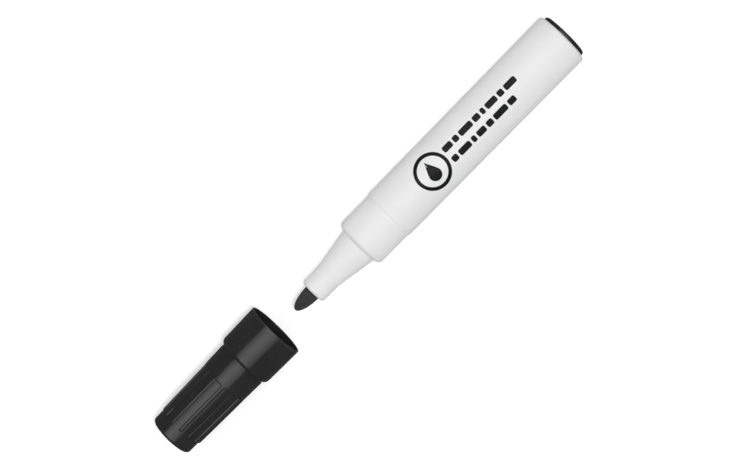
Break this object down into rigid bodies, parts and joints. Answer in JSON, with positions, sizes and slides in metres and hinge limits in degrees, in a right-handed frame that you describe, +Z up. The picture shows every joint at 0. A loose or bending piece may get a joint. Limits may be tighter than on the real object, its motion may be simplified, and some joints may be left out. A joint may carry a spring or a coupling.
{
  "type": "whiteboard marker",
  "caption": "Bullet-nib whiteboard marker with a white barrel, a stepped white nib holder, a black tail plug and a black ribbed pull-off cap lying off in front of the nib.",
  "frame": {"origin": "middle of the whole object's footprint, on the surface that it lies on, with the cap off", "axes": "+X along the marker from the nib towards the tail plug, +Z up, +Y to the left of someone who looks along +X"},
  "size_m": [0.1766, 0.0196, 0.0197],
  "materials": {
    "white_shell": "satin",
    "black_shell": "satin",
    "nib_fibre": "matte",
    "core_fibre": "matte",
    "core_film": "gloss",
    "tube_plastic": "satin",
    "seal_plastic": "satin"
  },
  "bodies": {
    "marker_body": {"barrel": "white_shell", "nib_holder": "white_shell", "nib": "nib_fibre", "ink_core": "core_fibre", "core_film": "core_film", "breather_tube": "tube_plastic", "tail_plug": "black_shell"},
    "inner_cap": {"inner_cap": "seal_plastic"},
    "cap": {"cap": "black_shell"}
  },
  "joints": [
    {"name": "cap_slide", "type": "slide", "parent": "marker_body", "child": "inner_cap", "axis": [1, 0, 0], "range_m": [0, 0.05042]},
    {"name": "cap_turn", "type": "hinge", "parent": "inner_cap", "child": "cap", "pos_m": [-0.04057, 0, 0.00984], "axis": [1, 0, 0], "continuous": true}
  ]
}
